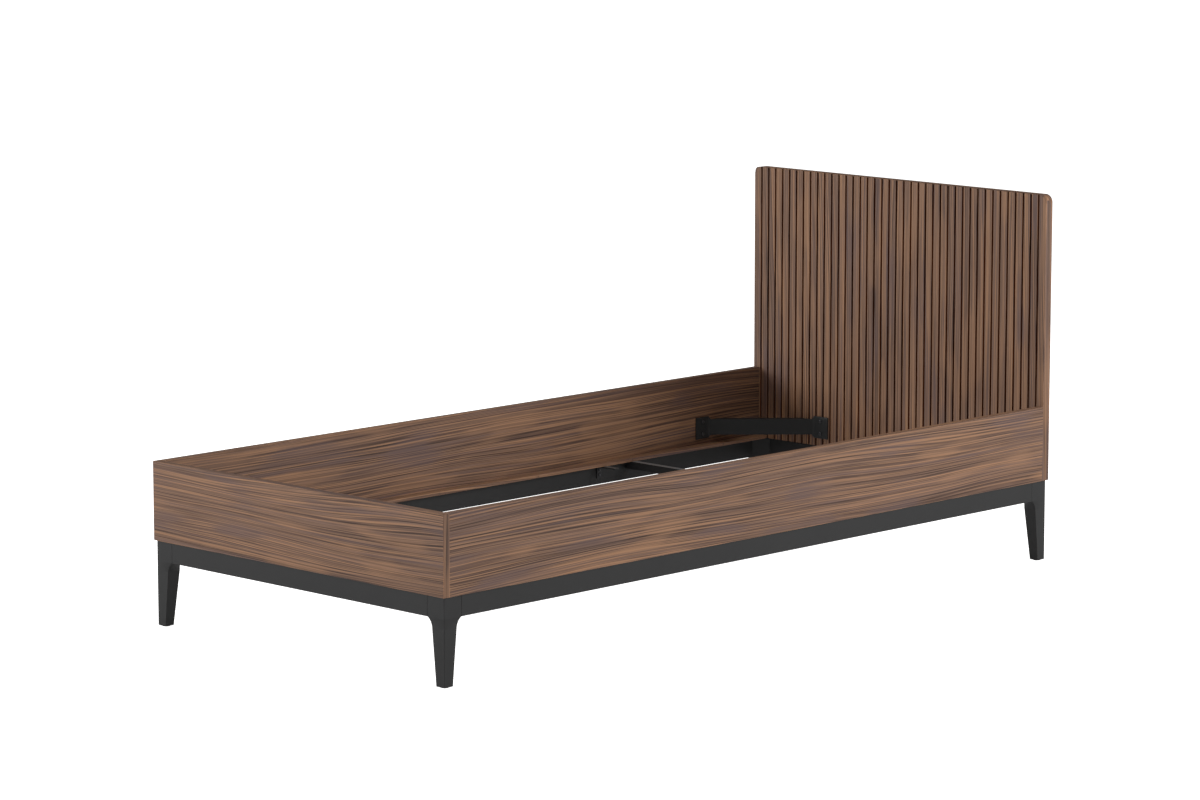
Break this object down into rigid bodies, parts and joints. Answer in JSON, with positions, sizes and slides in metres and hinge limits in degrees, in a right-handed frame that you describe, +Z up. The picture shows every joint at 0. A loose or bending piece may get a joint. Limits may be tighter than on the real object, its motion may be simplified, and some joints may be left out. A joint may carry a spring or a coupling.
{
  "type": "single bed frame",
  "caption": "Single bed frame with a vertically fluted walnut headboard, low panel sides and a dark base on tapered legs.",
  "frame": {"origin": "on the floor under the middle of the bed's outline, half way between the outer faces of the rails and half way from the footboard to the headboard's back", "axes": "+Z up, +Y towards the headboard, +X to the right for someone who stands at the foot and looks at the headboard"},
  "size_m": [0.96, 2.05, 0.905],
  "materials": {
    "walnut": "satin walnut veneer, grain along the panel",
    "walnut_fluted": "satin walnut, grain vertical, routed with grooves",
    "walnut_back": "satin walnut veneer, grain vertical",
    "walnut_edge": "satin walnut edge banding, grain along the edge",
    "walnut_ledge": "satin walnut strip",
    "charcoal_lacquer": "satin charcoal lacquer",
    "brace_steel": "satin black powder coat",
    "bracket_steel": "dark grey powder coat",
    "black_screw": "black oxide, slightly glossy",
    "bronze_screw": "dark bronze coating",
    "zinc_screw": "zinc plated",
    "beech": "plain beech dowel",
    "glide_plastic": "matt black plastic"
  },
  "bodies": {
    "root": {"headboard_front_panel": "walnut_fluted", "headboard_back_panel": "walnut_back", "headboard_edge_band": "walnut_edge", "footboard_panel": "walnut", "footboard_edge_band": "walnut_edge", "side_rail_left": "walnut", "side_rail_right": "walnut", "side_rail_left_edge_band": "walnut_edge", "side_rail_right_edge_band": "walnut_edge", "ledge_left": "walnut_ledge", "ledge_right": "walnut_ledge", "leg_foot_left": "charcoal_lacquer", "leg_foot_right": "charcoal_lacquer", "leg_head_left": "charcoal_lacquer", "leg_head_right": "charcoal_lacquer", "glide_foot_left": "glide_plastic", "glide_foot_right": "glide_plastic", "glide_head_left": "glide_plastic", "glide_head_right": "glide_plastic", "apron_left": "charcoal_lacquer", "apron_right": "charcoal_lacquer", "apron_foot": "charcoal_lacquer", "apron_head": "charcoal_lacquer", "cross_bar_foot": "charcoal_lacquer", "cross_bar_head": "charcoal_lacquer", "bar_angle_foot_left": "bracket_steel", "bar_angle_foot_right": "bracket_steel", "bar_angle_head_left": "bracket_steel", "bar_angle_head_right": "bracket_steel", "base_tab_foot_left": "bracket_steel", "base_tab_foot_right": "bracket_steel", "base_tab_head_left": "bracket_steel", "base_tab_head_right": "bracket_steel", "corner_brace_foot_left": "brace_steel", "corner_brace_foot_right": "brace_steel", "corner_brace_head_left": "brace_steel", "corner_brace_head_right": "brace_steel", "brace_screws": "black_screw", "small_screws": "black_screw", "ledge_screws": "bronze_screw", "box_screws": "zinc_screw", "rail_dowels": "beech", "apron_dowels": "beech"}
  },
  "joints": []
}
